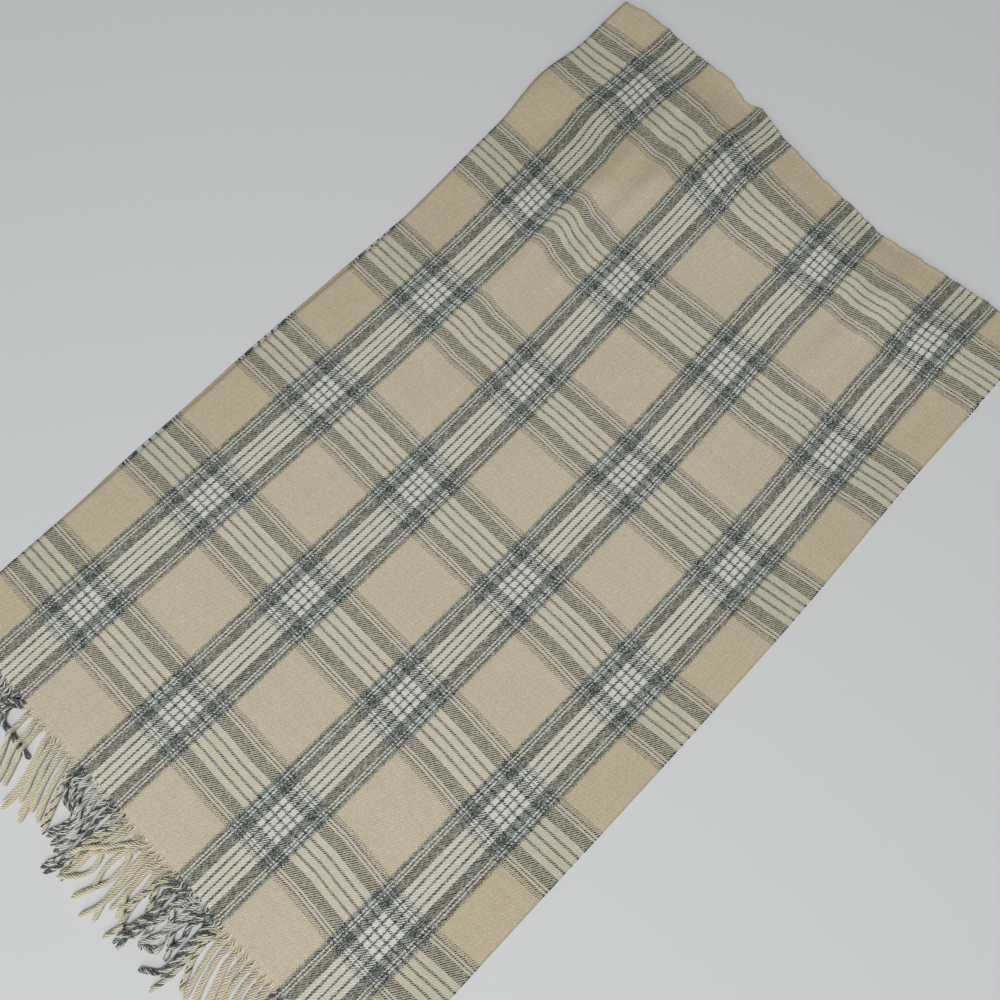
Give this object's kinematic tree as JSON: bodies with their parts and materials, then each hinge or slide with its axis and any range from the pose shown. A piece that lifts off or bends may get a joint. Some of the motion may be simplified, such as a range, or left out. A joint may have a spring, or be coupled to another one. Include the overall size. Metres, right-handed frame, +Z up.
{
  "type": "folded blanket scarf",
  "caption": "Long woven wool-look plaid scarf with twisted fringe at both cut ends, folded once across its length and laid flat in two layers.",
  "frame": {"origin": "middle of the footprint, on the surface that the scarf lies on", "axes": "+X along the scarf from the fringed ends to the fold, +Y across its width, +Z up from the surface"},
  "size_m": [1.119, 0.6364, 0.0138],
  "materials": {
    "plaid_cloth": "soft twill weave in beige, charcoal and ivory stripes, matt with a light nap",
    "beige_strand": "two-ply twisted beige yarn, matt and slightly fuzzy",
    "marled_strand": "two-ply twisted yarn of charcoal and ivory, matt and slightly fuzzy"
  },
  "bodies": {
    "root": {"under_layer": "plaid_cloth", "upper_layer": "plaid_cloth", "fold_turn": "plaid_cloth", "under_fringe_beige_1": "beige_strand", "upper_fringe_beige_1": "beige_strand", "under_fringe_marled_1": "marled_strand", "upper_fringe_marled_1": "marled_strand", "under_fringe_beige_2": "beige_strand", "upper_fringe_beige_2": "beige_strand", "under_fringe_marled_2": "marled_strand", "upper_fringe_marled_2": "marled_strand", "under_fringe_beige_3": "beige_strand", "upper_fringe_beige_3": "beige_strand", "under_fringe_marled_3": "marled_strand", "upper_fringe_marled_3": "marled_strand", "under_fringe_beige_4": "beige_strand", "upper_fringe_beige_4": "beige_strand", "under_fringe_marled_4": "marled_strand", "upper_fringe_marled_4": "marled_strand", "under_fringe_beige_5": "beige_strand", "upper_fringe_beige_5": "beige_strand"}
  },
  "joints": []
}
